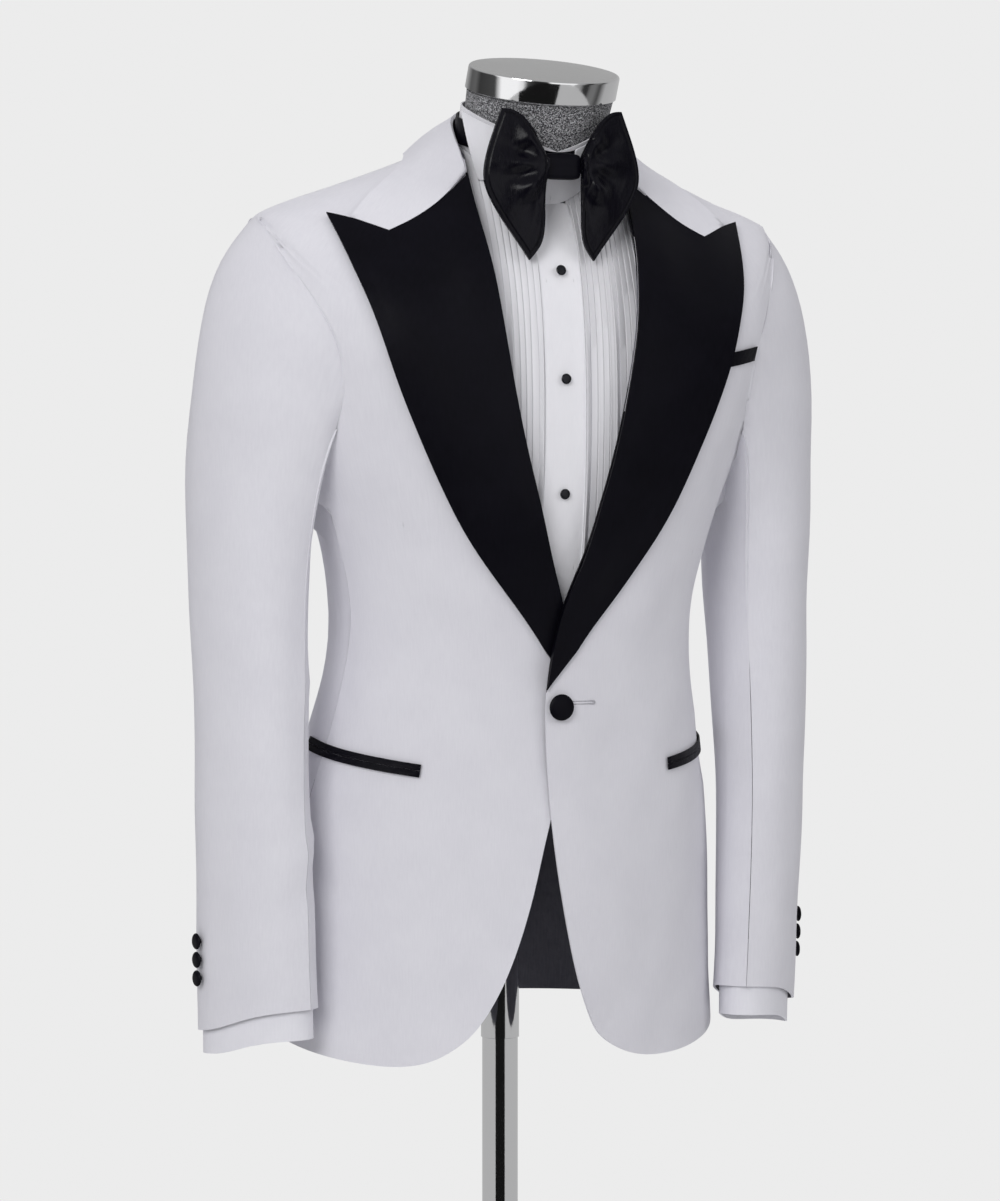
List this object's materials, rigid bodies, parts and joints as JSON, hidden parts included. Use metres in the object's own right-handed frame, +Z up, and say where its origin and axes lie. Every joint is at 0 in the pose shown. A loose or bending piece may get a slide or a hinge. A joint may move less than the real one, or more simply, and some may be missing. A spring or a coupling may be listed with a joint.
{
  "type": "tuxedo on a dress form with stand",
  "caption": "White evening jacket with black satin peak lapels over a tucked shirt and bow tie, worn by a limbless dress form on a pole stand.",
  "frame": {"origin": "centre of the stand's underside, on the floor", "axes": "+Z up along the pole, -Y the way the wearer faces, +X to the wearer's left"},
  "size_m": [0.532, 0.33, 1.5096],
  "materials": {
    "jacket_wool": "matt fine twill, off-white with a cool cast",
    "black_satin": "satin weave, soft sheen",
    "shirt_cotton": "fine plain weave, pressed",
    "stud_black": "polished domed",
    "form_fabric": "speckled grey knit stretched over the form",
    "chrome": "polished, brushed on the cap's flat top"
  },
  "bodies": {
    "root": {"jacket_front_left": "jacket_wool", "jacket_front_right": "jacket_wool", "jacket_side_left": "jacket_wool", "jacket_side_right": "jacket_wool", "jacket_back_left": "jacket_wool", "jacket_back_right": "jacket_wool", "jacket_collar": "jacket_wool", "sleeve_top_left": "jacket_wool", "sleeve_top_right": "jacket_wool", "sleeve_under_left": "jacket_wool", "sleeve_under_right": "jacket_wool", "lapel_left": "black_satin", "lapel_right": "black_satin", "hip_jet_upper_left": "black_satin", "hip_jet_upper_right": "black_satin", "hip_jet_lower_left": "black_satin", "hip_jet_lower_right": "black_satin", "breast_welt": "black_satin", "front_button": "black_satin", "sleeve_button_left_1": "black_satin", "sleeve_button_left_2": "black_satin", "sleeve_button_left_3": "black_satin", "sleeve_button_right_1": "black_satin", "sleeve_button_right_2": "black_satin", "sleeve_button_right_3": "black_satin", "shirt_front_left": "shirt_cotton", "shirt_front_right": "shirt_cotton", "shirt_placket": "shirt_cotton", "shirt_back": "shirt_cotton", "shirt_collar_stand": "shirt_cotton", "shirt_wing_left": "shirt_cotton", "shirt_wing_right": "shirt_cotton", "shirt_cuff_left": "shirt_cotton", "shirt_cuff_right": "shirt_cotton", "shirt_stud_1": "stud_black", "shirt_stud_2": "stud_black", "shirt_stud_3": "stud_black", "bow_band": "black_satin", "bow_knot": "black_satin", "bow_wing_left": "black_satin", "bow_wing_right": "black_satin", "form_torso": "form_fabric", "form_neck": "form_fabric", "neck_cap": "chrome", "pole_upper": "chrome", "pole_lower": "chrome", "stand_base": "chrome"}
  },
  "joints": []
}
